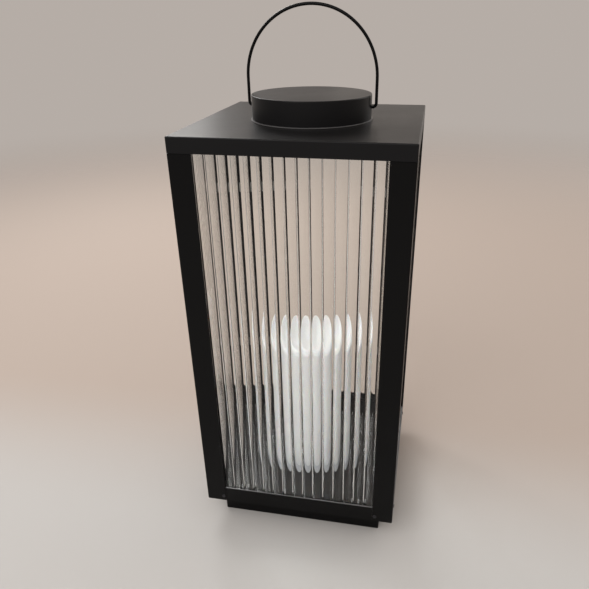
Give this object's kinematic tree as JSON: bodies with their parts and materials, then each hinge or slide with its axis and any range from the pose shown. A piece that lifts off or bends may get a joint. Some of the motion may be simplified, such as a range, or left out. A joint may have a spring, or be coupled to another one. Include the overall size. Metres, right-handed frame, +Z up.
{
  "type": "lantern",
  "caption": "Tall square metal lantern on a stepped plinth, with fluted clear sides, a round roof cap, a wire bail, a hinged rear door and a battery pillar candle inside.",
  "frame": {"origin": "on the ground, under the middle of the square body", "axes": "+Z up, front towards -Y, door at the rear towards +Y, hinges on the rear left towards -X"},
  "size_m": [0.1864, 0.1977, 0.468],
  "materials": {
    "black_paint": "satin powder coat",
    "fluted_glass": "clear, hollow flutes outside",
    "wax": "smooth ivory wax",
    "candle_plastic": "moulded, pale grey",
    "dark_plastic": "moulded, dark",
    "plated_steel": "bright zinc plate",
    "brass": "nickel-free strip",
    "battery_sleeve": "plain printed sleeve",
    "board": "solder mask",
    "led_lens": "clear warm lens"
  },
  "bodies": {
    "lantern": {"plinth": "black_paint", "floor_tray": "black_paint", "plinth_screws": "black_paint", "post_front_left": "black_paint", "post_front_right": "black_paint", "post_rear_left": "black_paint", "post_rear_right": "black_paint", "post_rivets": "black_paint", "band_front": "black_paint", "band_left": "black_paint", "band_right": "black_paint", "band_rear": "black_paint", "roof_lid": "black_paint", "corner_brackets": "black_paint", "panel_front": "fluted_glass", "panel_left": "fluted_glass", "panel_right": "fluted_glass", "strip_front_left": "black_paint", "strip_front_right": "black_paint", "strip_rear_left": "black_paint", "strip_rear_right": "black_paint", "cap_ring": "black_paint", "cap_screws": "plated_steel", "cap": "black_paint", "hinge_lower_post_leaf": "black_paint", "hinge_upper_post_leaf": "black_paint", "hinge_lower_pin": "plated_steel", "hinge_upper_pin": "plated_steel", "hinge_rivets_post": "black_paint", "door_magnet": "dark_plastic"},
    "bail": {"bail": "black_paint"},
    "door": {"door_frame": "black_paint", "door_panel": "fluted_glass", "door_clips": "plated_steel", "hinge_lower_door_leaf": "black_paint", "hinge_upper_door_leaf": "black_paint", "hinge_rivets_door": "black_paint", "strike_plate": "plated_steel", "door_knob": "black_paint", "knob_screw": "plated_steel"},
    "candle": {"candle_wax": "wax", "candle_base": "candle_plastic", "candle_core": "candle_plastic", "circuit_board": "board", "led": "led_lens", "battery_left": "battery_sleeve", "battery_right": "battery_sleeve", "upper_contacts": "brass", "bridge_contact": "brass", "battery_cover": "candle_plastic", "cover_screw": "plated_steel", "switch_body": "dark_plastic"},
    "switch": {"switch_slider": "dark_plastic"}
  },
  "joints": [
    {"name": "bail_swing", "type": "hinge", "parent": "lantern", "child": "bail", "pos_m": [0, 0, 0.391], "axis": [1, 0, 0], "range_deg": [-96, 96]},
    {"name": "door_swing", "type": "hinge", "parent": "lantern", "child": "door", "pos_m": [-0.084, 0.0949, 0.201], "axis": [0, 0, 1], "range_deg": [0, 180]},
    {"name": "candle_lift", "type": "slide", "parent": "lantern", "child": "candle", "axis": [0, 0, 1], "range_m": [0, 0.12]},
    {"name": "switch_slide", "type": "slide", "parent": "candle", "child": "switch", "axis": [1, 0, 0], "range_m": [0, 0.003]}
  ]
}
